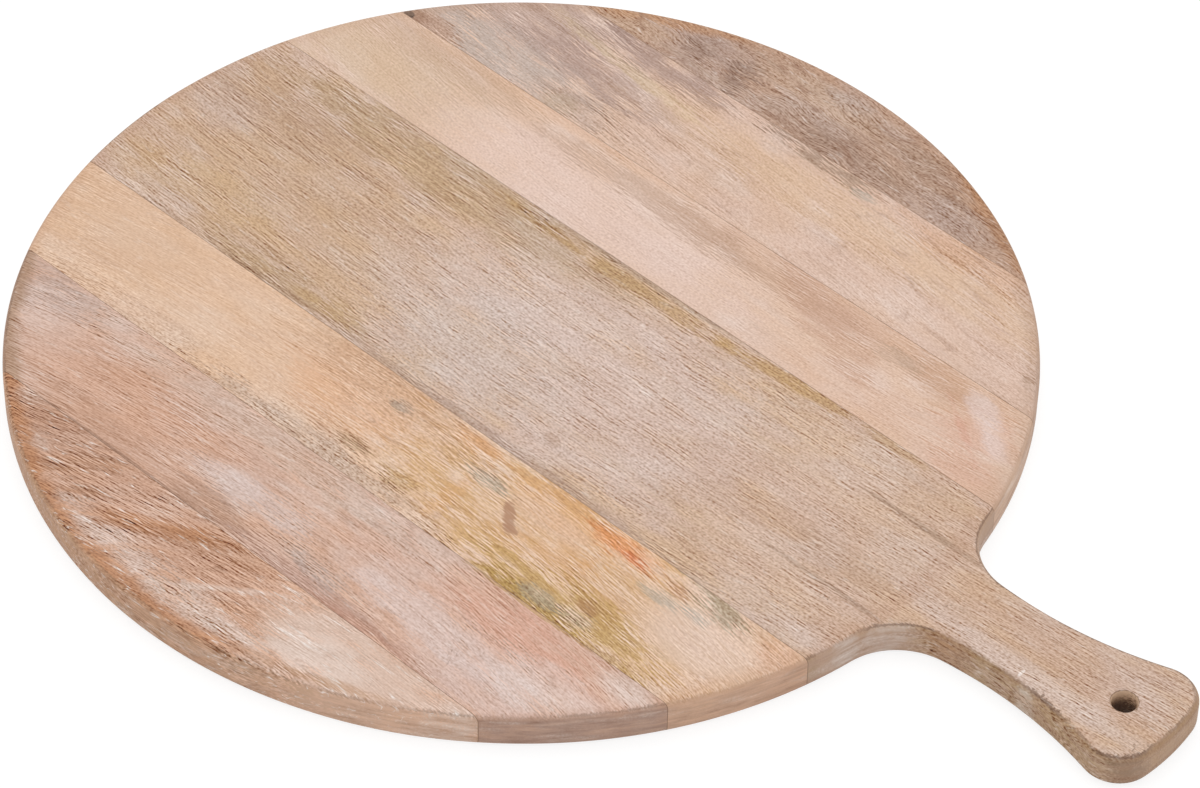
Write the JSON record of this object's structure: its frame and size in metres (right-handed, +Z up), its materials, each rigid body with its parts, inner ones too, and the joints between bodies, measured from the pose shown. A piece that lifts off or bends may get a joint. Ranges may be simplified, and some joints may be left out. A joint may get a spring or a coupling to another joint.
{
  "type": "pizza serving board",
  "caption": "Round whitewashed hardwood pizza serving board of edge-glued staves, with a short waisted handle and a hang hole.",
  "frame": {"origin": "centre of the round serving area, on the bottom face that the board rests on", "axes": "+Z up out of the serving face, +Y away from the handle along its middle line, +X to the right with the handle towards the viewer"},
  "size_m": [0.4, 0.5115, 0.015],
  "materials": {
    "centre_wood": "whitewashed and waxed",
    "left_inner_wood": "whitewashed and waxed",
    "left_middle_wood": "whitewashed and waxed",
    "left_rim_wood": "whitewashed and waxed",
    "right_inner_wood": "whitewashed and waxed",
    "right_middle_wood": "whitewashed and waxed",
    "right_rim_wood": "whitewashed and waxed",
    "glue": "matte"
  },
  "bodies": {
    "root": {"centre_stave": "centre_wood", "left_inner_stave": "left_inner_wood", "left_middle_stave": "left_middle_wood", "left_rim_stave": "left_rim_wood", "right_inner_stave": "right_inner_wood", "right_middle_stave": "right_middle_wood", "right_rim_stave": "right_rim_wood", "left_inner_glue": "glue", "left_middle_glue": "glue", "left_rim_glue": "glue", "right_inner_glue": "glue", "right_middle_glue": "glue", "right_rim_glue": "glue"}
  },
  "joints": []
}
